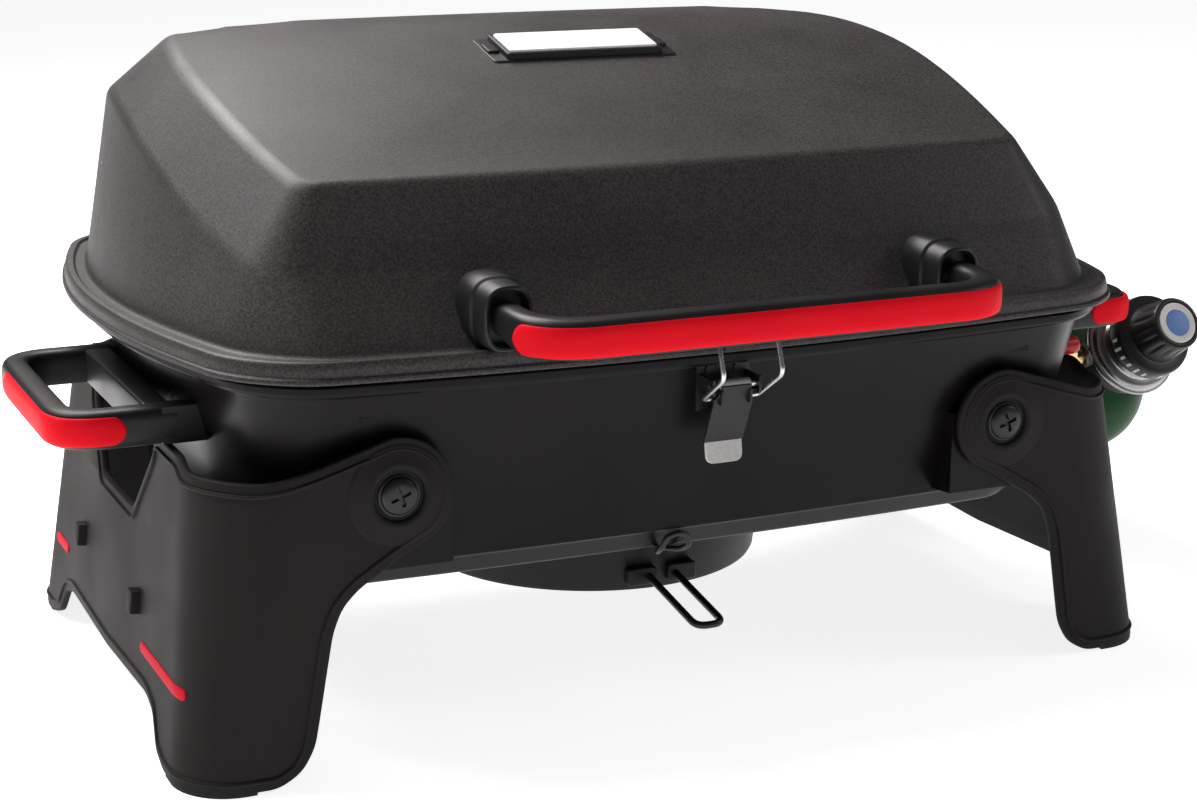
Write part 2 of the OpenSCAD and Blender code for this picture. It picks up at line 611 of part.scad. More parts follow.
// The panel's top is lower towards the bends: its cut in front; the one behind is its mirror image.
drop = [[-180, 200], [-180, 153], [-142, 153], [-100, 158], [-100, 200]];
arch = [
    [-106, 0], [-99, 7], [-95, 16], [-89, 23], [-75, 27],
    [97, 27], [111, 23], [117, 16], [121, 7], [128, 0]
];
module tilted() translate([panel_x, 0, 0]) rotate([0, -panel_angle, 0]) children();
module leg() difference() {
    union() {
        intersection() {
            tilted() translate([0, 0, -20]) linear_extrude(220) u_section();
            translate([0, wing_y + 2 * mid_y + 1, 0]) rotate([90, 0, 0])
                linear_extrude(2 * (wing_y + mid_y) + 2) leg_side();
        }
        mirrored_y() translate([pivot_x, 0, pivot_z]) along_y(boss_r - 3, -wing_y - 3, -wing_y + 0.5);
    }
    translate([225, 0, 0]) rotate([90, 0, 90]) linear_extrude(80) {
        polygon(notch);
        polygon(arch);
        polygon(drop);
        translate([2 * mid_y, 0]) mirror([1, 0]) polygon(drop);
    }
    mirrored_y() translate([pivot_x, 0, pivot_z]) {
        along_y(6.05, -wing_y - 4, -150);
        along_y(12.3, -wing_y - 4, -wing_y);
    }
}
module leg_right() color(dark) place() leg();
module leg_left() color(dark) place() mirror([1, 0, 0]) leg();
module pegs() tilted() for (y = [-46, 78]) translate([0, y - 4.5, 61]) cube([peg_l, 9, 12]);
module pegs_right() color("gray") place() pegs();
module pegs_left() color("gray") place() mirror([1, 0, 0]) pegs();
module stripes() tilted() for (s = [[-133, 76], [112, 30]]) translate([0, s[0], 44]) cube([0.8, s[1], 6]);
module stripes_right() color(red) place() stripes();
module stripes_left() color(red) place() mirror([1, 0, 0]) stripes();
module foot_pads() mirrored_y() translate([panel_x - bend_r, bend_r - wing_y, 0]) linear_extrude(3) {
    difference() {
        circle(r = bend_r - 0.4);
        circle(r = bend_r - 8);
        translate([-50, 0]) square(100);
        translate([-50, -50]) square([50, 100]);
    }
    translate([-6, 0.4 - bend_r]) square([6.2, 7.6]);
    translate([bend_r - 8, -0.2]) square([7.6, 12]);
}
module foot_pads_right() color("black") place() foot_pads();
module foot_pads_left() color("black") place() mirror([1, 0, 0]) foot_pads();

firebox();
leg_brackets();
pivot_bolts();
grate_supports();
cooking_grate_left();
cooking_grate_right();
burner_tube();
burner_bracket();
heat_tent();
gas_orifice();
regulator_body();
regulator_cap();
regulator_outlet();
regulator_knob();
knob_label();
propane_cylinder();
cylinder_collar();
igniter_housing();
igniter_button();
igniter_electrode();
side_handle_left();
side_handle_right();
side_inlay_left();
side_inlay_right();
handle_brackets();
latch_base();
latch_pin();
latch_lever();
latch_bail();
tray_rails();
tray_clip();
grease_tray();
tray_handle();
tray_lugs();
hinge_box_leaves();
hinge_pins();
leg_left();
leg_right();
pegs_left();
pegs_right();
stripes_left();
stripes_right();
foot_pads_left();
foot_pads_right();
lid();
lid_handle();
lid_handle_inlay();
lid_handle_bosses();
lid_handle_screws();
lid_bezel();
lid_plate();
lid_catch();
hinge_lid_leaves();
rack_rod();
warming_rack();
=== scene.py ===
"""The looks of the portable tabletop grill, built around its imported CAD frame.

Shapes are drawn in millimetres (+X right, +Y back, +Z up) about the middle of the
hood, and put into the frame's metres by to_frame().
"""
import math

import bmesh
import bpy
from mathutils import Matrix, Vector


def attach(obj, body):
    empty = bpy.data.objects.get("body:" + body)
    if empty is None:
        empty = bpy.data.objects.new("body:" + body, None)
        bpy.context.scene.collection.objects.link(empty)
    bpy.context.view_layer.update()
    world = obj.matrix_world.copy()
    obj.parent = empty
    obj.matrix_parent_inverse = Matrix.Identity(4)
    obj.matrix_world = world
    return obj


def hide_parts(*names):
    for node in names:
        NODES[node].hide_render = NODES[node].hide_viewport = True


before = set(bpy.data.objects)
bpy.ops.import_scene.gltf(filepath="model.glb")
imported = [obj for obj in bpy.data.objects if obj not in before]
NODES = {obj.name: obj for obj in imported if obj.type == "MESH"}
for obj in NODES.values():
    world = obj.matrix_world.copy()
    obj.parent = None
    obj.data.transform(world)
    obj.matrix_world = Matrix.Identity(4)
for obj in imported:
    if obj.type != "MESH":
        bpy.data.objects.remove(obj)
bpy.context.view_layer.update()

MM = 0.001
ORIGIN = Vector((42.5, -1.0, 0.0))


def to_frame(p):
    return (Vector(p) - ORIGIN) * MM


# ---------- paths and outlines ----------
def lerp(a, b, t):
    return a + (b - a) * t


def fillet(points, cuts, steps=4, closed=False, support=True, share=0.42):
    """The polyline with its corners rounded: cuts[i] is how far the rounding reaches
    along both sides of corner i, and share is the most of a side that it may take.
    Each rounded corner gets the same number of points."""
    points = [Vector(p) for p in points]
    n, out = len(points), []
    for i, p in enumerate(points):
        if cuts[i] == 0 or (not closed and i in (0, n - 1)):
            out.append(p)
            continue
        back, on = points[i - 1] - p, points[(i + 1) % n] - p
        reach = min(cuts[i], share * back.length, share * on.length)
        a, b = p + back.normalized() * reach, p + on.normalized() * reach
        if support:
            out.append(p + back.normalized() * reach * 1.15)
        for k in range(steps + 1):
            t = k / steps
            out.append(a * (1 - t) ** 2 + p * (2 * t * (1 - t)) + b * t * t)
        if support:
            out.append(p + on.normalized() * reach * 1.15)
    return out


ARC_N = 10
EDGE_N = 22


def rounded(x, y, r):
    centres = [(x - r, y - r, 0), (r - x, y - r, 90), (r - x, r - y, 180), (x - r, r - y, 270)]
    arcs = []
    for cx, cy, start in centres:
        angles = [math.radians(start + 90 * k / ARC_N) for k in range(ARC_N + 1)]
        arcs.append([(cx + r * math.cos(a), cy + r * math.sin(a)) for a in angles])
    out = []
    for i in range(4):
        a, b = arcs[i][-1], arcs[(i + 1) % 4][0]
        out += arcs[i]
        out += [(lerp(a[0], b[0], k / EDGE_N), lerp(a[1], b[1], k / EDGE_N)) for k in range(1, EDGE_N)]
    return out


def sign(v):
    return (v > 0) - (v < 0)


def outline(x, y, r, bow_x, bow_y, shift, back):
    """A rounded rectangle with bowed ends and front, whose back half is drawn in."""
    out = []
    for px, py in rounded(x, y, r):
        qx = px - sign(px) * bow_x * (py / y) ** 2 * abs(px / x)
        qy = py - sign(py) * bow_y * (px / x) ** 2 * abs(py / y)
        out.append((qx, shift + (qy * back if qy > 0 else qy)))
    return out


def at_height(points, z):
    return [(p[0], p[1], z) for p in points]


def round_rect(w, h, r, steps=6):
    out = []
    for k in range(4):
        cx, cy = (w / 2 - r) * (1, -1, -1, 1)[k], (h / 2 - r) * (1, 1, -1, -1)[k]
        for j in range(steps + 1):
            a = math.radians(90 * (k + j / steps))
            out.append((cx + r * math.cos(a), cy + r * math.sin(a)))
    return out


# ---------- meshes ----------
class Shape:
    """Vertices and faces gathered in drawing millimetres."""

    def __init__(self):
        self.verts = []
        self.faces = []

    def add(self, verts, faces, matrix=None):
        base = len(self.verts)
        self.verts += [tuple(matrix @ Vector(v)) if matrix else tuple(v) for v in verts]
        self.faces += [[base + i for i in f] for f in faces]
        return self

    def loft(self, rings, matrix=None, start=True, end=True, looped=False):
        """Joins ring after ring. start and end close the two ends with a face each."""
        n, m, faces = len(rings[0]), len(rings), []
        for i in range(m if looped else m - 1):
            for j in range(n):
                k, i2 = (j + 1) % n, (i + 1) % m
                faces.append([i * n + j, i * n + k, i2 * n + k, i2 * n + j])
        if not looped and start:
            faces.append(list(range(n))[::-1])
        if not looped and end:
            faces.append([(m - 1) * n + j for j in range(n)])
        return self.add([v for r in rings for v in r], faces, matrix)

    def turn(self, profile, n=96, matrix=None, wobble=None):
        """Turns a profile of (radius, height) about the local z axis."""
        rings = []
        for r, z in profile:
            ring = []
            for j in range(n):
                a = 2 * math.pi * j / n
                q = max(r, 0.001) + (wobble(a, z) if wobble else 0)
                ring.append((q * math.cos(a), q * math.sin(a), z))
            rings.append(ring)
        looped = profile[0][0] > 0.01 and profile[-1][0] > 0.01
        return self.loft(rings, matrix, looped=looped)

    def sweep(self, path, section, closed=False, up=None, matrix=None):
        """Sweeps section(i, t), points (sideways, upwards), along a path."""
        path = [Vector(p) for p in path]
        n, rings = len(path), []
        normal = None
        for i, p in enumerate(path):
            ahead = path[(i + 1) % n] if closed or i < n - 1 else p
            behind = path[i - 1] if closed or i > 0 else p
            tangent = (ahead - behind).normalized()
            if up is not None:
                side = tangent.cross(Vector(up)).normalized()
            elif normal is None:
                side = tangent.orthogonal().normalized()
            else:
                side = (normal - tangent * normal.dot(tangent)).normalized()
            normal = side
            top = side.cross(tangent).normalized()
            shape = section(i, i / (n - 1)) if callable(section) else section
            rings.append([p + side * a + top * b for a, b in shape])
        return self.loft(rings, matrix, looped=closed)

    def slab(self, w, d, r, z0, z1, edge, matrix=None, both=False):
        """A plate with round corners and rounded upper edges."""
        quarter = [(edge * (1 - math.sin(a)), edge * (1 - math.cos(a)))
                   for a in (math.radians(t) for t in (0, 30, 60, 90))]
        rings = []
        if both:
            rings += [[(x, y, z0 + down)
                       for x, y in round_rect(w - 2 * inset, d - 2 * inset, max(r - inset, 0.2))]
                      for inset, down in quarter]
        else:
            rings.append([(x, y, z0) for x, y in round_rect(w, d, r)])
        rings += [[(x, y, z1 - down)
                   for x, y in round_rect(w - 2 * inset, d - 2 * inset, max(r - inset, 0.2))]
                  for inset, down in reversed(quarter)]
        return self.loft(rings, matrix)

    def mirrored(self):
        twin = Shape()
        return twin.add([(-x, y, z) for x, y, z in self.verts], self.faces)


def disc(r, n=20):
    return [(r * math.cos(2 * math.pi * k / n), r * math.sin(2 * math.pi * k / n)) for k in range(n)]


def superellipse(w, h, power, n=36):
    out = []
    for k in range(n):
        a = 2 * math.pi * k / n
        c, s = math.cos(a), math.sin(a)
        out.append((w / 2 * sign(c) * abs(c) ** (2 / power), h / 2 * sign(s) * abs(s) ** (2 / power)))
    return out


def piece(name, shape, material, body, replaces=(), sharp=38, cut=None):
    """A finished piece from a shape. cut is a shape that is taken away from it."""
    def mesh_of(label, s):
        mesh = bpy.data.meshes.new(label)
        mesh.from_pydata([to_frame(v) for v in s.verts], [], s.faces)
        bm = bmesh.new()
        bm.from_mesh(mesh)
        bmesh.ops.remove_doubles(bm, verts=bm.verts, dist=2e-6)
        bmesh.ops.recalc_face_normals(bm, faces=bm.faces)
        bm.to_mesh(mesh)
        bm.free()
        return mesh

    obj = bpy.data.objects.new(name, mesh_of(name, shape))
    bpy.context.scene.collection.objects.link(obj)
    if cut:
        tool = bpy.data.objects.new(name + "_tool", mesh_of(name + "_tool", cut))
        bpy.context.scene.collection.objects.link(tool)
        boolean = obj.modifiers.new("cut", "BOOLEAN")
        boolean.object = tool
        boolean.solver = "EXACT"
        boolean.use_self = True
        depsgraph = bpy.context.evaluated_depsgraph_get()
        obj.data = bpy.data.meshes.new_from_object(obj.evaluated_get(depsgraph))
        obj.modifiers.clear()
        bpy.data.objects.remove(tool)
    mesh = obj.data
    mesh.shade_smooth()
    mesh.set_sharp_from_angle(angle=math.radians(sharp))
    mesh.materials.clear()
    mesh.materials.append(material)
    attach(obj, body)
    if replaces:
        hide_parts(*replaces)
    return obj


# ---------- materials ----------
def surface(name, dark, light, rough, spread=0.06, grain=900, depth=0.00004, bump=0.25, mottle=18,
            metallic=0.0, specular=0.5, streak=None, speckle=0.5):
    """A finish whose colour and roughness vary a little and whose grain is a fine bump.
    speckle is the share of the fine grain in the colour; streak stretches the grain."""
    material = bpy.data.materials.new(name)
    material.use_nodes = True
    nodes, links = material.node_tree.nodes, material.node_tree.links
    shader = nodes["Principled BSDF"]
    shader.inputs["Metallic"].default_value = metallic
    shader.inputs["Specular IOR Level"].default_value = specular
    place = nodes.new("ShaderNodeTexCoord").outputs["Object"]
    if streak:
        mapping = nodes.new("ShaderNodeMapping")
        mapping.inputs["Scale"].default_value = streak
        links.new(place, mapping.inputs["Vector"])
        place = mapping.outputs["Vector"]

    def noise(scale, detail):
        node = nodes.new("ShaderNodeTexNoise")
        node.inputs["Scale"].default_value = scale
        node.inputs["Detail"].default_value = detail
        links.new(place, node.inputs["Vector"])
        return node.outputs["Fac"]

    fine, broad = noise(grain, 2.0), noise(mottle, 3.0)
    blend = nodes.new("ShaderNodeMix")
    blend.inputs["Factor"].default_value = speckle
    links.new(broad, blend.inputs["A"])
    links.new(fine, blend.inputs["B"])
    ramp = nodes.new("ShaderNodeValToRGB")
    ramp.color_ramp.elements[0].position = 0.36
    ramp.color_ramp.elements[0].color = (*dark, 1)
    ramp.color_ramp.elements[1].position = 0.64
    ramp.color_ramp.elements[1].color = (*light, 1)
    links.new(blend.outputs["Result"], ramp.inputs["Fac"])
    links.new(ramp.outputs["Color"], shader.inputs["Base Color"])
    span = nodes.new("ShaderNodeMapRange")
    span.inputs["From Min"].default_value = 0.3
    span.inputs["From Max"].default_value = 0.7
    span.inputs["To Min"].default_value = rough - spread
    span.inputs["To Max"].default_value = rough + spread
    links.new(broad, span.inputs["Value"])
    links.new(span.outputs["Result"], shader.inputs["Roughness"])
    relief = nodes.new("ShaderNodeBump")
    relief.inputs["Strength"].default_value = bump
    relief.inputs["Distance"].default_value = depth
    links.new(fine, relief.inputs["Height"])
    links.new(relief.outputs["Normal"], shader.inputs["Normal"])
    return material


def grey(v, warm=1.04):
    return (v * warm, v, v)


POWDER = surface("speckled_powder_coat", grey(0.015, 1.15), grey(0.05, 1.12), 0.5, grain=800, depth=0.00014,
                 bump=0.5, specular=0.36, speckle=0.9)
ENAMEL = surface("satin_black_enamel", grey(0.003, 1.3), grey(0.005, 1.3), 0.32, grain=700, depth=0.00002,
                 specular=0.13)
LEG_COAT = surface("matte_leg_moulding", grey(0.0115, 1.15), grey(0.017, 1.15), 0.62, grain=1300,
                   depth=0.00006, bump=0.4, specular=0.1)
HANDLE_BLACK = surface("handle_nylon", grey(0.006), grey(0.01), 0.42, grain=1600, depth=0.00004,
                       bump=0.35, specular=0.3)
MOULDING = surface("black_moulding", grey(0.008, 1.0), grey(0.012, 1.0), 0.45, grain=1400, depth=0.00005,
                   specular=0.35)
KNOB_BLACK = surface("knob_moulding", grey(0.008, 1.0), grey(0.013, 1.0), 0.38, grain=1400, specular=0.4)
RED_INLAY = surface("red_handle_insert", (0.72, 0.004, 0.014), (0.8, 0.007, 0.018), 0.55, grain=1200,
                    depth=0.00003, specular=0.06, speckle=0.3)
RED_BUTTON = surface("red_button_gloss", (0.5, 0.012, 0.014), (0.58, 0.02, 0.02), 0.3, grain=900,
                     specular=0.25)
RED_PAINT = surface("red_stripe_paint", (0.5, 0.004, 0.02), (0.6, 0.007, 0.026), 0.6, grain=1300,
                    depth=0.00004, specular=0.06)
BRIGHT_PLATE = surface("bright_brushed_plate", (0.93, 0.93, 0.93), (0.98, 0.98, 0.98), 0.36, grain=500,
                       streak=(0.05, 1, 1), metallic=0.1, depth=0.00002)
POLISHED = surface("turned_bright_metal", (0.34, 0.34, 0.35), (0.44, 0.44, 0.45), 0.3, grain=600,
                   metallic=1.0, depth=0.00002)
BRASS = surface("machined_brass", (0.68, 0.48, 0.2), (0.82, 0.62, 0.3), 0.24, grain=700, metallic=1.0)
GREEN = surface("green_cylinder_enamel", (0.011, 0.058, 0.021), (0.015, 0.07, 0.026), 0.42, grain=300,
                depth=0.00003, specular=0.14)
LABEL_RIM = surface("label_rim_print", (0.62, 0.62, 0.6), (0.72, 0.72, 0.7), 0.4, grain=900)
LABEL_BLUE = surface("label_field_print", (0.1, 0.2, 0.5), (0.14, 0.26, 0.58), 0.4, grain=900)
DIAL_WHITE = surface("dial_mark_print", (0.6, 0.6, 0.58), (0.72, 0.72, 0.7), 0.5, grain=900)
LATCH_DARK = surface("dark_latch_plate", (0.016, 0.015, 0.015), (0.028, 0.027, 0.027), 0.42, grain=800,
                     metallic=0.5, specular=0.5)
LATCH_TAB = surface("worn_latch_steel", (0.5, 0.49, 0.48), (0.62, 0.61, 0.6), 0.4, grain=700, metallic=0.6)
BRIGHT_WIRE = surface("plated_wire", (0.55, 0.55, 0.55), (0.72, 0.72, 0.72), 0.25, grain=500, metallic=1.0)
DARK_WIRE = surface("coated_wire", grey(0.006), grey(0.01), 0.38, grain=900, specular=0.45)
ZINC = surface("zinc_plated_steel", (0.32, 0.32, 0.33), (0.46, 0.46, 0.46), 0.42, grain=500, metallic=0.9)
BOLT = surface("blackened_bolt", grey(0.007), grey(0.012), 0.36, grain=900, specular=0.5, metallic=0.3)
IRON = surface("porcelain_coated_bars", grey(0.012), grey(0.024), 0.4, grain=600, depth=0.0001, specular=0.5)
BURNER = surface("stainless_burner", (0.42, 0.41, 0.39), (0.56, 0.54, 0.51), 0.36, grain=400, metallic=0.95)
CERAMIC = surface("glazed_ceramic", (0.7, 0.69, 0.64), (0.8, 0.78, 0.74), 0.2, grain=500, specular=0.5)
TRAY = surface("tray_enamel", grey(0.005), grey(0.009), 0.4, grain=800, specular=0.25)
RUBBER = surface("foot_rubber", grey(0.012, 1.0), grey(0.02, 1.0), 0.75, grain=1200, depth=0.0001,
                 specular=0.3)

# ---------- hood ----------
FLANGE_X, FLANGE_Y = 282, 214
HOOD_T = 2
HOOD_SHIFT, HOOD_BACK = 27.6, 0.92


def crease1(y):
    if y < 115:
        return 250.6 + 61 * math.sin(math.radians(90 * (max(0, y + 135) / 250) ** 1.35))
    return 311.6 - 0.005 * (y - 115) ** 2


def crease2(y):
    if y < 125:
        return 291 + 49 * math.sin(math.radians(90 * (max(0, y + 118) / 243) ** 1.1))
    return 340 - 0.007 * (y - 125) ** 2


def crown(y):
    return 2 + 12 * max(0, y + 118) / 288


def crease1_ring(t):
    return [(x, y, crease1(y) - t * 0.6)
            for x, y in outline(251 - t, 169.6 - t, 21, 20, 9, HOOD_SHIFT, HOOD_BACK)]


CREASE2 = [(x * (1 - 0.06 * (max(0, y) / 166) ** 2), y)
           for x, y in outline(222, 150.6, 10, 16, 6, HOOD_SHIFT, HOOD_BACK)]


def top_ring(f, t):
    out = []
    for px, py in CREASE2:
        y = HOOD_SHIFT + (py - HOOD_SHIFT) * f
        out.append((px * f * (222 - t) / 222, y, crease2(y) + crown(y) * (1 - f * f) - t))
    return out


def flange_ring(grow, z):
    t = max(0, -grow) / 11.5
    ring = outline(FLANGE_X + grow, FLANGE_Y + grow, 42 - 4 * t, 36.6 - 0.3 * t, 17.5 - 2.8 * t,
                   HOOD_SHIFT, HOOD_BACK)
    return at_height(ring, z)


def meridian_skin(rows, steps=4):
    """Rings from rows of (ring, cut): every meridian is rounded by its row's cut."""
    meridians = [fillet([row[0][j] for row in rows], [row[1] for row in rows], steps)
                 for j in range(len(rows[0][0]))]
    return [list(ring) for ring in zip(*meridians)]


STEPS_IN = [0.12, 0.3, 0.5, 0.7, 0.86]
hood_rows = [(top_ring(f, HOOD_T), 0) for f in STEPS_IN]
hood_rows += [
    (top_ring(1, HOOD_T), 4), (crease1_ring(HOOD_T), 4),
    (flange_ring(-13.5, 213), 1.5), (flange_ring(-1.6, 213), 0.8), (flange_ring(-0.8, 205.2), 0.3),
    (flange_ring(0.2, 204.8), 0.4), (flange_ring(1.9, 205.2), 0.9), (flange_ring(1.7, 207.6), 0.8),
    (flange_ring(0.5, 208.4), 0.5), (flange_ring(0.2, 212.8), 1.2), (flange_ring(-0.9, 215.8), 1.4),
    (flange_ring(-4.6, 215.9), 0.9), (flange_ring(-5.4, 214.3), 0.6), (flange_ring(-11.1, 214.6), 2.2),
    (crease1_ring(0), 4), (top_ring(1, 0), 5)]
hood_rows += [(top_ring(f, 0), 0) for f in reversed(STEPS_IN)]
hood = Shape().loft(meridian_skin(hood_rows))
piece("hood_shell", hood, POWDER, "hood", ["lid"], sharp=60)

SLOPE = Matrix.Translation((0, 22, 333)) @ Matrix.Rotation(math.radians(14), 4, "X")
bezel = Shape().slab(112, 37, 3, 0, 3, 1.0, SLOPE)
bezel.slab(95, 33, 2.5, 0, 6.4, 1.0, SLOPE)
for s in (-1, 1):
    bezel.slab(7, 12, 1.5, 0, 4.6, 0.8, SLOPE @ Matrix.Translation((s * 51.5, 0, 0)))
piece("name_panel_frame", bezel, MOULDING, "hood", ["lid_bezel"])
plate = Shape().slab(90, 28, 2, 6, 7.5, 0.6, SLOPE)
piece("name_panel_plate", plate, BRIGHT_PLATE, "hood", ["lid_plate"])

# ---------- hood handle ----------
HANDLE_Z, BOSS_Z, BOSS_X = 229, 232, 127
SOCKET_X, SOCKET_MOUTH, BAR_Y, BAR_FACE = 126, -184, -227, -235
corner = fillet([(BOSS_X, SOCKET_MOUTH, BOSS_Z), (BOSS_X, BAR_Y, HANDLE_Z), (80, BAR_Y, HANDLE_Z)],
                [0, 30, 0], steps=14, support=False, share=0.72)
bar_path = corner + [Vector((x, BAR_Y, HANDLE_Z)) for x in range(60, -61, -20)]
bar_path += [Vector((-p.x, p.y, p.z)) for p in reversed(corner)]


def bar_section(i, t):
    p = bar_path[i]
    out_there = min(1, max(0, (-p.y - 190) / 30))
    return superellipse(lerp(13.5, 16, out_there), lerp(17, 20, out_there), 3.2)


piece("hood_handle_bar", Shape().sweep(bar_path, bar_section, up=(0, 0, 1)), HANDLE_BLACK, "hood",
      ["lid_handle"])


def spaced(path, step):
    """The path with its long runs divided into steps."""
    out = []
    for a, b in zip(path, path[1:]):
        count = max(1, round((b - a).length / step))
        out += [a.lerp(b, k / count) for k in range(count)]
    return out + [path[-1]]


def stripe(path, outward, z, half_h, proud=1.0, sink=2.2, crown_in=0.6):
    """A raised strip with round ends along a level path; outward says which side it is on."""
    path = [Vector(p) for p in path]
    lengths = [0.0]
    for a, b in zip(path, path[1:]):
        lengths.append(lengths[-1] + (b - a).length)
    total, columns = lengths[-1], []
    stations = [half_h * (1 - math.cos(math.radians(a))) for a in range(0, 91, 10)]
    stations += [s for s in lengths if half_h * 1.05 < s < total - half_h * 1.05]
    stations += [total - half_h * (1 - math.cos(math.radians(a))) for a in range(90, -1, -10)]
    for s in stations:
        i = max(k for k in range(len(path) - 1) if lengths[k] <= s + 1e-6)
        t = (s - lengths[i]) / (lengths[i + 1] - lengths[i])
        p = path[i].lerp(path[i + 1], t)
        run = (path[min(i + 2, len(path) - 1)] - path[max(i - 1, 0)]).normalized()
        side = Vector((run.y, -run.x, 0)) * outward
        to_end = min(s, total - s, half_h)
        h = math.sqrt(max(half_h ** 2 - (half_h - to_end) ** 2, 0.01))
        rows = [-1, -0.97, -0.9, -0.6, -0.2, 0.2, 0.6, 0.9, 0.97, 1]
        lift = [proud * (1 - abs(v) ** 8) * min(1, 0.3 + to_end) - crown_in * v * v for v in rows]
        ring = [(*(p + side * q).xy, z + v * h) for v, q in zip(rows, lift)]
        ring += [(*(p - side * sink).xy, z + v * h) for v in reversed(rows)]
        columns.append(ring)
    return Shape().loft(columns)


face = [(135, SOCKET_MOUTH), (135, BAR_FACE), (-135, BAR_FACE), (-135, SOCKET_MOUTH)]
face = fillet([(x, y, 0) for x, y in face], [0, 39, 39, 0], steps=16, support=False, share=0.8)
face = [p for p in face if p.y < -206]
piece("hood_handle_stripe", stripe(spaced(face, 12), -1, HANDLE_Z - 0.4, 7.4), RED_INLAY, "hood",
      ["lid_handle_inlay"])

sockets = Shape()
for s in (-1, 1):
    profile = [(14.8, 18.2, -153), (14.8, 18.2, -170.4), (14.3, 17.7, -171.4), (13.4, 17.1, -172),
               (13, 16.8, -173), (12.8, 16.5, -184), (12.3, 16, -186), (11.6, 15.2, -186.6),
               (10.6, 14.2, -186.2), (10, 13.6, -184.6), (9.6, 13.2, -178)]
    rings = [[(s * SOCKET_X + x, y, BOSS_Z + z) for x, z in superellipse(2 * a, 2 * b, 2.9, 40)]
             for a, b, y in profile]
    sockets.loft(rings)
piece("hood_handle_sockets", sockets, MOULDING, "hood", ["lid_handle_bosses"])

# ---------- firebox ----------
BOX_SHIFT, TRAY_Y = 9, 3


def level(x, y, r, bow_x, bow_y, shift, back, z, t=0):
    return at_height(outline(x - t, y - t, max(r - t, 6), bow_x, bow_y, shift, back), z)


def box_wall(t, z_shift):
    return [(level(228 - t, 140.6 - t, 26, 16, 7, BOX_SHIFT, 1, 87.6 + z_shift), 2.5),
            (level(239 - t, 150.6 - t, 30, 18, 7, BOX_SHIFT, 1, 99.8 + z_shift), 0.8),
            (level(240.4 - t, 152 - t, 30, 18, 7, BOX_SHIFT, 1, 100.8 + z_shift), 0.8),
            (level(262 - t, 173 - t, 32, 30, 12, BOX_SHIFT, 0.96, 178), 18)]


box_rows = [(level(26, 26, 26, 0, 0, TRAY_Y, 1, 86), 0), (level(120, 70, 40, 0, 0, TRAY_Y, 1, 87), 0)]
box_rows += box_wall(0, 0)
box_rows += [(level(268, 199, 35, 34, 13, HOOD_SHIFT, HOOD_BACK, 195.5), 2),
             (level(275, 206, 40, 35, 15, HOOD_SHIFT, HOOD_BACK, 196.6), 0.8),
             (level(276, 207, 40, 35, 15, HOOD_SHIFT, HOOD_BACK, 198.2), 0.8),
             (level(276, 207, 40, 35, 15, HOOD_SHIFT, HOOD_BACK, 202), 0.8),
             (level(275, 206, 40, 35, 15, HOOD_SHIFT, HOOD_BACK, 203), 0.8),
             (level(267.4, 198.4, 38, 34, 13, HOOD_SHIFT, HOOD_BACK, 203), 1),
             (level(266, 197, 38, 34, 13, HOOD_SHIFT, HOOD_BACK, 196), 2)]
box_rows += list(reversed(box_wall(2, 2)))
box_rows += [(level(118, 68, 40, 0, 0, TRAY_Y, 1, 89), 0), (level(26, 26, 26, 0, 0, TRAY_Y, 1, 88), 0)]
box = Shape().loft(meridian_skin(box_rows), looped=True)
piece("firebox_shell", box, ENAMEL, "firebox_body", ["firebox"], sharp=60)

# ---------- legs ----------
PIVOT_X, PIVOT_Z, BOSS_R = 175, 144, 29
WING_HALF, MID_Y, LEG_T = 174.5, 11, 4
PANEL_X, LEAN = 286, 0.12
BEND_LOW, BEND_HIGH, PANEL_TOP = 31, 60, 157


def bend_radius(z):
    return lerp(BEND_LOW, BEND_HIGH, min(1, max(0, z / PANEL_TOP)))


def leg_point(a, z, depth=0.0):
    """The point of the leg's sheet at arc length a from the panel's middle and height z."""
    r, x = bend_radius(z), PANEL_X - LEAN * z
    s, a = sign(a) or 1, abs(a)
    flat = WING_HALF - r
    if a <= flat:
        return Vector((x - depth, MID_Y + s * a, z))
    if a <= flat + math.pi * r / 2:
        t = (a - flat) / r
        return Vector((x - r + (r - depth) * math.cos(t), MID_Y + s * (flat + (r - depth) * math.sin(t)), z))
    return Vector((x - r - (a - flat - math.pi * r / 2), MID_Y + s * (WING_HALF - depth), z))


def arc_at(x, z):
    """Arc length of the sheet's point that is at x from the middle of the grill."""
    r, panel = bend_radius(z), PANEL_X - LEAN * z
    if x > panel - r:
        return WING_HALF - r + r * math.acos(min(1, (x - panel + r) / r))
    return WING_HALF - r + math.pi * r / 2 + panel - r - x


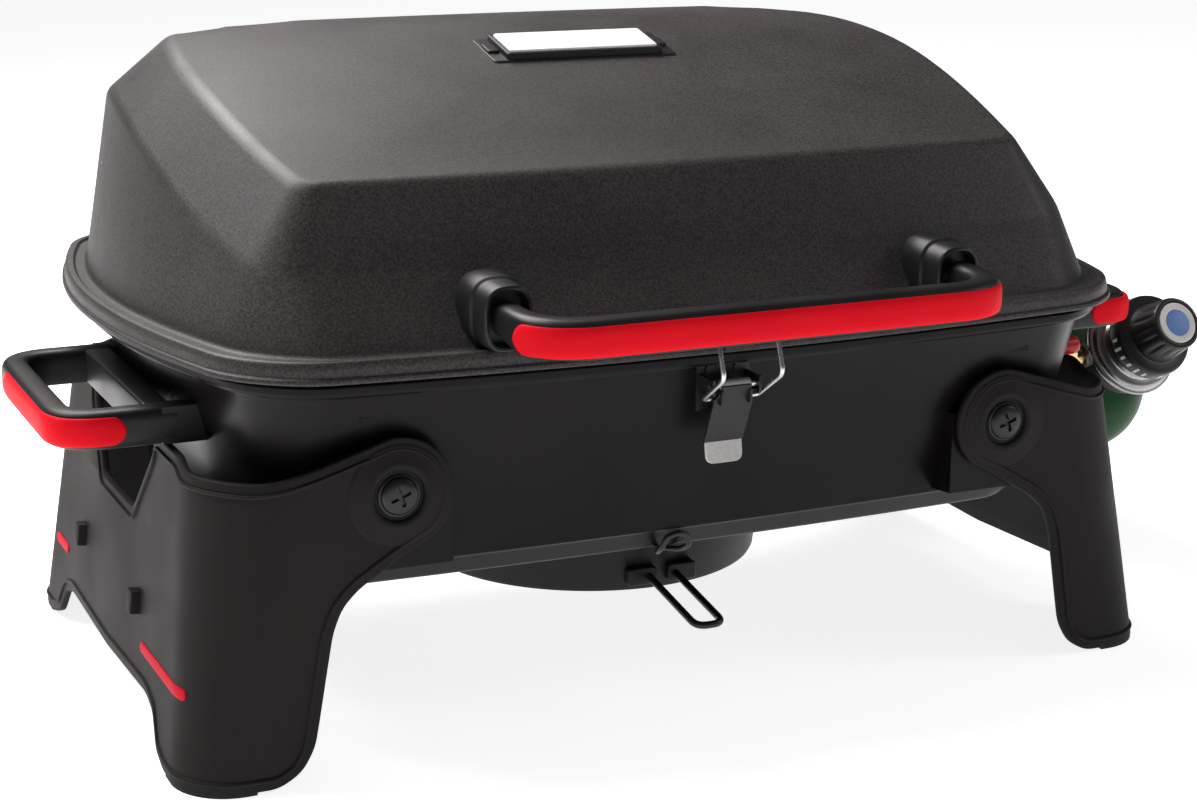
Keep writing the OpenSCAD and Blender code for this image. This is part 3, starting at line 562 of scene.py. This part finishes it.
def leg_half(inset):
    """Half of the sheet's edge as (arc length, height), drawn in by inset."""
    wing = [(237, 154, 14), (209, 163.5, 22)]
    boss = [(PIVOT_X + BOSS_R * math.cos(math.radians(a)), PIVOT_Z + BOSS_R * math.sin(math.radians(a)), 0)
            for a in range(84, 232, 7)]
    lower = [(173, 112.5, 8), (186, 104.5, 6), (196, 98.5, 8), (204.5, 90, 8), (209.5, 78, 8), (213.5, 56, 8),
             (217, 36, 8), (220, 20, 7), (227, 8, 7), (239, 1.2, 6)]
    corners = [(0, 110, 0), (33, 110, 5), (63, 146, 7), (66, 157.5, 2), (110, 157.5, 3), (122, 152.5, 14)]
    corners += [(arc_at(x, z), z, c) for x, z, c in wing + boss + lower]
    corners += [(128, 1, 10), (113, 6, 8), (107, 14, 6), (101, 22, 7), (86, 26.5, 9), (0, 23.5, 0)]
    n, moved = len(corners), []
    for i, (a, z, cut) in enumerate(corners):
        before = Vector(corners[i - 1][:2]) if i else Vector((-33, 110))
        after = Vector(corners[i + 1][:2]) if i < n - 1 else Vector((-86, 26.5))
        p = Vector((a, z))
        u, v = (p - before).normalized(), (after - p).normalized()
        nu, nv = Vector((u.y, -u.x)), Vector((v.y, -v.x))
        middle = (nu + nv).normalized()
        moved.append((*(p + middle * inset / max(0.5, middle.dot(nu))), 0.0))
    path = fillet(moved, [c[2] for c in corners], steps=6, support=False)
    return [(p.x, p.y) for p in path]


def leg_loop(inset):
    right = leg_half(inset)
    return right + [(-a, z) for a, z in reversed(right[1:-1])]


def resampled(points, step):
    out = []
    for i, p in enumerate(points):
        q = points[(i + 1) % len(points)]
        count = max(1, round(math.dist(p, q) / step))
        out += [(lerp(p[0], q[0], k / count), lerp(p[1], q[1], k / count)) for k in range(count)]
    return out


def leg_sheet():
    loop = resampled(leg_loop(1.0), 5)
    bm = bmesh.new()
    bm.faces.new([bm.verts.new((a, z, 0)) for a, z in loop])
    planes = [((s * a, 0, 0), (1, 0, 0)) for a in range(78, 262, 5) for s in (-1, 1)]
    planes += [((0, z, 0), (0, 1, 0)) for z in range(12, 172, 12)]
    for where, normal in planes:
        geometry = bm.verts[:] + bm.edges[:] + bm.faces[:]
        bmesh.ops.bisect_plane(bm, geom=geometry, plane_co=where, plane_no=normal, dist=1e-5)
    bm.verts.ensure_lookup_table()
    bm.verts.index_update()
    flat = [(v.co.x, v.co.y) for v in bm.verts]
    faces = [[v.index for v in f.verts] for f in bm.faces]
    link = {}
    for e in bm.edges:
        if e.is_boundary:
            face = e.link_faces[0]
            order = [v.index for v in face.verts]
            i, j = e.verts[0].index, e.verts[1].index
            k = order.index(i)
            if order[(k + 1) % len(order)] != j:
                i, j = j, i
            link[i] = j
    bm.free()
    start = next(iter(link))
    edge = [start]
    while link[edge[-1]] != start:
        edge.append(link[edge[-1]])
    n = len(edge)
    signed = sum(flat[edge[k]][0] * flat[edge[(k + 1) % n]][1] - flat[edge[(k + 1) % n]][0] * flat[edge[k]][1]
                 for k in range(n))
    outward = []
    for k in range(n):
        a, b = Vector(flat[edge[k - 1]]), Vector(flat[edge[(k + 1) % n]])
        run = (b - a).normalized() * (1 if signed > 0 else -1)
        outward.append(Vector((run.y, -run.x)))
    shape = Shape()
    shape.add([leg_point(a, z) for a, z in flat], faces)
    shape.add([leg_point(a, z, LEG_T) for a, z in flat], [f[::-1] for f in faces])
    rim = [(0, 0), (0.7, 0.3), (1.0, 1.0), (1.0, LEG_T - 1), (0.7, LEG_T - 0.3), (0, LEG_T)]
    rings = []
    for out, depth in rim:
        rings.append([leg_point(*(Vector(flat[edge[k]]) + outward[k] * out), depth) for k in range(n)])
    shape.loft(rings, start=False, end=False)
    bead = [(a, z) for a, z in resampled(leg_loop(6.0), 4)]
    path = [leg_point(a, z, 0.1) for a, z in bead]
    shape.sweep(path, [(x * 1.5, y * 1.1) for x, y in disc(1.0, 10)], closed=True)
    return shape


def about_y(x, y, z, facing):
    """A local frame whose z axis points out of the grill's front (-1) or back (+1)."""
    return Matrix.Translation((x, y, z)) @ Matrix.Rotation(math.radians(-90 * facing), 4, "X")


leg = leg_sheet()
RING = [(26.4, -0.3), (25.6, 0.5), (24.4, 0.9), (18.6, 1.3), (16.8, 2.3), (15.2, 2.5), (13.8, 2.1), (13, 1.2),
        (12.8, -0.3)]
for side in (-1, 1):
    leg.turn(RING, 72, about_y(PIVOT_X, MID_Y + side * WING_HALF, PIVOT_Z, side))
piece("leg_sheet_right", leg, LEG_COAT, "right_leg", ["leg_right"], sharp=50)
piece("leg_sheet_left", leg.mirrored(), LEG_COAT, "left_leg", ["leg_left"], sharp=50)

bolts, crosses = Shape(), Shape()
HEAD = [(0.001, -2), (10.6, -2), (10.9, -0.6), (10.7, 0.2), (9.8, 0.5), (9.2, 1.8), (8, 2.6), (5, 3.0),
        (0.001, 3.1)]
for mx in (-1, 1):
    for side in (-1, 1):
        where = about_y(mx * PIVOT_X, MID_Y + side * WING_HALF, PIVOT_Z, side)
        bolts.turn([(r, z + 0.6) for r, z in HEAD], 48, where)
        for turn in (20, 110):
            arm = where @ Matrix.Rotation(math.radians(turn), 4, "Z")
            crosses.slab(11, 2.2, 0.9, 2.0, 6, 0.2, arm)
piece("pivot_bolt_heads", bolts, BOLT, "firebox_body", ["pivot_bolts"], cut=crosses)

# Each foot's strip runs from this x on the wing to this far from the panel's middle.
FOOT_X, ARCH_HALF = 250, 133
feet = Shape()
for s in (-1, 1):
    arcs = [s * lerp(arc_at(FOOT_X, 1), ARCH_HALF, k / 30) for k in range(31)]
    feet.loft([[leg_point(a, z, d) for z, d in ((0, 0.5), (0, 3.5), (1.6, 3.5), (1.6, 0.5))] for a in arcs])
piece("foot_pad_strips_right", feet, RUBBER, "right_leg", ["foot_pads_right"])
piece("foot_pad_strips_left", feet.mirrored(), RUBBER, "left_leg", ["foot_pads_left"])

TILT = Matrix.Translation((PANEL_X, 0, 0)) @ Matrix.Rotation(-math.atan(LEAN), 4, "Y")
FACING_X = Matrix.Rotation(math.radians(90), 4, "Y")
pegs = Shape()
for y in (-46, 78):
    pegs.slab(12.4, 9.4, 1.2, -1, 4.8, 1.0, TILT @ Matrix.Translation((0, y, 67)) @ FACING_X)
STRIPE_Z, STRIPE_H = 47, 2.9
stripes = Shape()
for start, end in ((-150, -71), (101, 131)):
    columns, span = [], end - start
    ends = [STRIPE_H * (1 - math.cos(math.radians(t))) for t in range(0, 91, 15)]
    stations = ends + [STRIPE_H + 4 + k * 3 for k in range(int((span - 2 * STRIPE_H - 4) / 3))]
    for along in stations + [span - v for v in reversed(ends)]:
        near = min(along, span - along, STRIPE_H)
        tall = math.sqrt(max(STRIPE_H ** 2 - (STRIPE_H - near) ** 2, 0.01))
        rows = [-1, -0.9, -0.5, 0, 0.5, 0.9, 1]
        ring = [leg_point(start + along, STRIPE_Z + v * tall, -0.7 + 0.4 * v ** 6) for v in rows]
        columns.append(ring + [leg_point(start + along, STRIPE_Z + v * tall, 0.6) for v in reversed(rows)])
    stripes.loft(columns)
for side, mirrored in (("right", False), ("left", True)):
    for base, shape, material, slot in (("pegs", pegs, LEG_COAT, "leg_moulding"),
                                        ("stripes", stripes, RED_PAINT, "red_paint")):
        shape = shape.mirrored() if mirrored else shape
        piece("panel_" + base + "_" + side, shape, material, side + "_leg", [base + "_" + side])

# ---------- side handles ----------
REACH, SIDE_FRONT, SIDE_BACK, SIDE_H, SIDE_BAR = 325, -84, 70, 20, 15
INNER_X = 262
SIDE_LOW = {"left": 159, "right": 168}


def side_path(grow, corner_cut):
    x, y0, y1 = REACH - SIDE_BAR / 2 + grow, SIDE_FRONT + SIDE_BAR / 2 - grow, SIDE_BACK - SIDE_BAR / 2 + grow
    points = [(INNER_X, y0, 0), (x, y0, 0), (x, y1, 0), (INNER_X, y1, 0)]
    return fillet(points, [0, corner_cut, corner_cut, 0], steps=14, support=False)


for side, low in SIDE_LOW.items():
    mid_z = low + SIDE_H / 2
    middle = [(p.x, p.y, mid_z) for p in side_path(0, 27)]
    loop = Shape().sweep(middle, superellipse(SIDE_BAR, SIDE_H, 3.4), up=(0, 0, 1))
    loop.slab(14, 128, 2, -9.4, 9.4, 1.6, Matrix.Translation((270, -7, mid_z)), both=True)
    edge = [p for p in side_path(SIDE_BAR / 2, 34.5) if p.y < 36 and p.x > 286]
    edge = [Vector((288, SIDE_FRONT, 0))] + edge + [Vector((REACH, 36, 0))]
    inlay = stripe(spaced(edge, 8), 1, mid_z, 7.2)
    if side == "left":
        loop, inlay = loop.mirrored(), inlay.mirrored()
    piece("side_handle_loop_" + side, loop, HANDLE_BLACK, "firebox_body", ["side_handle_" + side])
    piece("side_handle_stripe_" + side, inlay, RED_INLAY, "firebox_body", ["side_inlay_" + side])

# ---------- latch ----------
LATCH_X, LEVER_Y, LEVER_Z = -3, -184, 187
AT_PIN = Matrix.Translation((LATCH_X, LEVER_Y, LEVER_Z))
ALONG_X = Matrix.Rotation(math.pi / 2, 4, "Y")
LEVER = AT_PIN @ Matrix.Rotation(math.radians(24), 4, "X")


def plate_from(points, depth, matrix, edge=0.35):
    """A thin plate from a flat outline (x, z), its faces a depth apart along y."""
    middle = sum((Vector(p) for p in points), Vector((0, 0))) / len(points)
    rings = []
    for inset, y in ((edge, 0), (0, edge), (0, depth - edge), (edge, depth)):
        ring = []
        for p in points:
            inward = (middle - Vector(p)).normalized() * inset
            ring.append((p[0] + inward.x, y, p[1] + inward.y))
        rings.append(ring)
    return Shape().loft(rings, matrix)


def round_outline(points, cuts):
    return [(p.x, p.y) for p in fillet([(x, z, 0) for x, z in points], cuts, 5, closed=True, support=False)]


lever = plate_from(round_outline([(-8.5, 2), (-8.5, -3), (-11.2, -7), (-11.2, -34), (11.2, -34), (11.2, -7),
                                  (8.5, -3), (8.5, 2)], [1, 2, 2, 0.4, 0.4, 2, 2, 1]), 1.5,
                   LEVER @ Matrix.Translation((0, -3.3, 0)))
barrel = [(2.6, -8.4), (3.2, -8.1), (3.2, 8.1), (2.6, 8.4), (1.6, 8.4), (1.6, -8.4)]
piece("latch_lever_barrel", Shape().turn(barrel, 32, AT_PIN @ ALONG_X), LATCH_TAB, "lever", ())
for s in (-1, 1):
    lever.slab(8, 9, 1, -0.7, 0.7, 0.3, AT_PIN @ Matrix.Translation((s * 8.1, 1, -5.5)) @ ALONG_X)
piece("latch_lever_plate", lever, LATCH_DARK, "lever", ["latch_lever"])
tab = plate_from(round_outline([(-10.6, 0.6), (-10.6, -11), (10.6, -11), (10.6, 0.6)], [0, 5, 5, 0]), 1.5,
                 LEVER @ Matrix.Translation((0, -3.4, -33.6)) @ Matrix.Rotation(math.radians(-34), 4, "X"))
piece("latch_lever_tab", tab, LATCH_TAB, "lever", ())
BAIL = 16.4
y0, z0 = LEVER_Y + 3.5, LEVER_Z - 7
bail = [(7, y0, z0), (BAIL - 0.6, y0, z0), (BAIL, y0 - 24, z0 + 16), (BAIL, y0 - 16, z0 + 36)]
bail += [(-x, y, z) for x, y, z in reversed(bail)]
bail = fillet([(x + LATCH_X, y, z) for x, y, z in bail], [0, 3, 4, 3, 3, 4, 3, 0], 6, support=False)
piece("latch_bail_wire", Shape().sweep(bail, disc(1.3, 14)), BRIGHT_WIRE, "bail", ["latch_bail"])

# ---------- gas ----------
GAS = Matrix.Translation((362, -31, 141)) @ Matrix.Rotation(math.radians(61), 4, "X")
cap = [(8, -6), (29.4, -6.3), (30.8, -6), (31.3, -5), (31.3, -3.4), (30.9, -2.6), (29.4, -2.2), (28.6, -1.6),
       (28, 0.4), (26.4, 1.2), (23.6, 1.4), (22.6, 2.2), (21.8, 4.6), (19, 5.6), (8, 6)]
piece("regulator_cap_disc", Shape().turn(cap, 96, GAS), POLISHED, "firebox_body", ["regulator_cap"])
body = [(12.2, -38), (16, -38), (17, -37), (17, -24), (18, -22.6), (24, -22), (26, -21), (26.8, -19),
        (26.8, -9), (26, -7), (24, -6.1), (8, -6.05), (7.8, 8), (5, 8), (5, -24), (12.2, -24)]
piece("regulator_housing", Shape().turn(body, 72, GAS), MOULDING, "firebox_body", ["regulator_body"])


def flutes(a, z):
    depth = 0.9 * max(0, min(1, (z - 26.5) / 3)) * max(0, min(1, (44.5 - z) / 2))
    return -depth * (0.5 + 0.5 * math.cos(16 * a)) ** 3


knob = [(0.001, 10), (23.6, 10), (25.4, 10.6), (26, 12), (26, 19.4), (25.4, 21.2), (23.6, 22.2), (19.8, 22.8),
        (18.9, 23.6), (18.5, 26), (18.1, 30), (17.6, 34), (17.1, 38), (16.7, 42.5), (16.4, 44.5),
        (15.8, 45.8), (14.6, 46.2), (13.6, 46), (13.2, 45), (0.001, 45)]
piece("regulator_knob_grip", Shape().turn(knob, 144, GAS, flutes), KNOB_BLACK, "knob", ["regulator_knob"])
marks = Shape()
for k in range(28):
    if k % 7 == 6:
        continue
    tall = 6.5 if k % 3 == 0 else 4.5
    out = Matrix.Rotation(math.radians(k * 360 / 28), 4, "Z") @ Matrix.Translation((26, 0, 16)) @ FACING_X
    marks.slab(tall, 1.9, 0.4, -0.4, 0.18, 0.08, GAS @ out)
piece("knob_dial_marks", marks, DIAL_WHITE, "knob", ())
rim = [(8.4, 45), (8.5, 46.3), (8.9, 46.6), (12.2, 46.6), (12.7, 46.2), (12.7, 45)]
piece("knob_label_rim", Shape().turn(rim, 64, GAS), LABEL_RIM, "knob", ["knob_label"])
field = [(0.001, 45), (8.6, 45), (8.6, 46.1), (7.9, 46.3), (0.001, 46.5)]
piece("knob_label_field", Shape().turn(field, 64, GAS), LABEL_BLUE, "knob", ())
shell = [(0.001, -190), (30, -191), (37, -194), (40, -197.4), (43.4, -198), (46.6, -196.6), (48.6, -193),
         (49, -188), (49, -133), (48.5, -131.5), (49, -130), (49, -72)]
shell += [(20 + 29 * math.cos(math.radians(a)), -70 + 27 * math.sin(math.radians(a))) for a in range(0, 85, 7)]
shell += [(15, -42.4), (13.6, -40.4), (12, -40), (0.001, -40)]
piece("gas_cylinder_shell", Shape().turn(shell, 128, GAS), GREEN, "cylinder", ["propane_cylinder"])

# ---------- igniter ----------
IGNITER = Matrix.Translation((0, -100, 165)) @ FACING_X
housing = [(5.8, 216), (8, 216), (8, 245), (8.4, 245.6), (10.4, 246), (10.8, 246.6), (10.8, 249.6),
           (10.2, 250.2), (8.4, 250.4), (8, 251), (8, 253.2), (7.4, 254), (6.2, 254), (5.8, 253)]
piece("igniter_housing_sleeve", Shape().turn(housing, 64, IGNITER), MOULDING, "firebox_body",
      ["igniter_housing"])
button = [(0.001, 252.6), (5.5, 252.6), (5.5, 263), (5.2, 264.8), (4.4, 266.2), (3, 267), (0.001, 267.4)]
piece("igniter_push_button", Shape().turn(button, 48, IGNITER), RED_BUTTON, "button", ["igniter_button"])

# ---------- grease tray ----------
cup = [(0.001, 50), (94, 50), (96.4, 50.8), (97.6, 53), (100.8, 78), (101.4, 79.4), (103.6, 79.8),
       (104.8, 80.4),
       (105, 81.2), (104.4, 82), (102, 82), (100, 81.4), (99, 79.4), (96, 53.4), (94.8, 52), (0.001, 51.6)]
UNDER = Matrix.Translation((0, TRAY_Y, 0))
piece("grease_tray_cup", Shape().turn(cup, 144, UNDER), TRAY, "tray", ["grease_tray"])
LOOP = Matrix.Translation((0, -97, 60)) @ Matrix.Rotation(math.radians(9.6), 4, "X")
bow = [(8, 0), (8, -45), (8, -61), (-8, -61), (-8, -45), (-8, 0)]
bow = fillet([(x, y, 0) for x, y in bow], [0, 0, 7.9, 7.9, 0, 0], 8, support=False)
piece("tray_pull_wire", Shape().sweep(bow, disc(2, 16), matrix=LOOP, up=(0, 0, 1)), DARK_WIRE, "tray",
      ["tray_handle"])
lugs = Shape()
for s in (-1, 1):
    lugs.slab(17, 10, 2, -1, 4.6, 1, about_y(s * 12, -98 + TRAY_Y, 60, -1))
piece("tray_wire_lugs", lugs, TRAY, "tray", ["tray_lugs"])
clip = [(0, -124, 84.5), (7, -135, 86), (8, -143, 91), (6, -144, 97), (0, -144.4, 98.6)]
clip += [(-x, y, z) for x, y, z in reversed(clip[:-1])]
clip = fillet([(x - 14, y, z) for x, y, z in clip], [0, 3, 3, 2, 3, 2, 3, 3, 0], 5, support=False)
piece("tray_clip_wire", Shape().sweep(clip, disc(1.5, 12)), DARK_WIRE, "firebox_body", ["tray_clip"])

# ---------- CAD nodes that stay, with their finishes ----------
KEPT = {
    ENAMEL: ["leg_brackets", "grate_supports", "tray_rails"],
    HANDLE_BLACK: ["handle_brackets"],
    IRON: ["cooking_grate_left", "cooking_grate_right"],
    BURNER: ["burner_tube", "burner_bracket", "heat_tent"],
    BRASS: ["gas_orifice"],
    POLISHED: ["regulator_outlet", "cylinder_collar"],
    CERAMIC: ["igniter_electrode"],
    LATCH_DARK: ["latch_base", "lid_catch"],
    BRIGHT_WIRE: ["latch_pin", "rack_rod", "warming_rack"],
    ZINC: ["hinge_box_leaves", "hinge_pins", "hinge_lid_leaves", "lid_handle_screws"],
}
for material, names in KEPT.items():
    for name in names:
        node = NODES[name]
        node.data.materials.clear()
        node.data.materials.append(material)

# ---------- stage, light and camera ----------
floor_mesh = bpy.data.meshes.new("floor")
floor_mesh.from_pydata([(-30, -30, 0), (30, -30, 0), (30, 30, 0), (-30, 30, 0)], [], [(0, 1, 2, 3)])
floor = bpy.data.objects.new("floor", floor_mesh)
bpy.context.scene.collection.objects.link(floor)
floor_mesh.materials.append(surface("pale_floor", (0.9, 0.9, 0.9), (0.93, 0.93, 0.93), 0.8, grain=40, mottle=2,
                                    depth=0.0001, bump=0.05, specular=0.1))
floor_shader = floor_mesh.materials[0].node_tree.nodes["Principled BSDF"]
floor_shader.inputs["Emission Color"].default_value = (1, 1, 1, 1)
floor_shader.inputs["Emission Strength"].default_value = 0.84

world = bpy.data.worlds.new("studio")
bpy.context.scene.world = world
world.use_nodes = True
wn, wl = world.node_tree.nodes, world.node_tree.links
rays = wn.new("ShaderNodeLightPath")
behind = wn.new("ShaderNodeBackground")
behind.inputs["Color"].default_value = (1, 1, 1, 1)
behind.inputs["Strength"].default_value = 1.05
around = wn["Background"]
around.inputs["Color"].default_value = (1, 0.985, 0.98, 1)
around.inputs["Strength"].default_value = 0.1
pick = wn.new("ShaderNodeMixShader")
wl.new(rays.outputs["Is Camera Ray"], pick.inputs["Fac"])
wl.new(around.outputs["Background"], pick.inputs[1])
wl.new(behind.outputs["Background"], pick.inputs[2])
wl.new(pick.outputs["Shader"], wn["World Output"].inputs["Surface"])


def softbox(name, place, aim, size, watts, tint):
    data = bpy.data.lights.new(name, "AREA")
    data.shape = "RECTANGLE"
    data.size, data.size_y = size
    data.energy = watts
    data.color = tint
    lamp = bpy.data.objects.new(name, data)
    lamp.location = place
    lamp.rotation_mode = "QUATERNION"
    lamp.rotation_quaternion = (Vector(aim) - Vector(place)).to_track_quat("-Z", "Y")
    bpy.context.scene.collection.objects.link(lamp)


WARM = (1, 0.96, 0.95)
softbox("key_overhead", (-0.55, 0.75, 1.5), (-0.02, 0.05, 0.3), (1.6, 1.0), 54, WARM)
softbox("fill_left", (-1.3, 0.3, 1.5), (-0.1, 0, 0.26), (0.8, 0.8), 1.6, WARM)
softbox("fill_right", (1.9, -0.9, 1.3), (0.1, 0, 0.24), (0.9, 0.7), 6, WARM)

# The camera's place in metres, its angles in radians and its lens in millimetres.
CAMERA_AT, LENS = (-0.5829, -1.1929, 0.4761), 70.47
AZIMUTH, PITCH, ROLL = 0.42935, 0.2548, 0.0059
camera_data = bpy.data.cameras.new("camera")
camera_data.lens = LENS
camera_data.sensor_width = 36
camera_data.clip_start, camera_data.clip_end = 0.05, 60
camera = bpy.data.objects.new("camera", camera_data)
ahead = Vector((math.sin(AZIMUTH) * math.cos(PITCH), math.cos(AZIMUTH) * math.cos(PITCH), -math.sin(PITCH)))
right = Vector((math.cos(AZIMUTH), -math.sin(AZIMUTH), 0))
upward = right.cross(ahead)
side_axis = math.cos(ROLL) * right + math.sin(ROLL) * upward
up_axis = math.cos(ROLL) * upward - math.sin(ROLL) * right
turn = Matrix((side_axis, up_axis, -ahead)).transposed().to_4x4()
camera.matrix_world = Matrix.Translation(CAMERA_AT) @ turn
bpy.context.scene.collection.objects.link(camera)
bpy.context.scene.camera = camera
bpy.context.scene.view_settings.view_transform = "Standard"
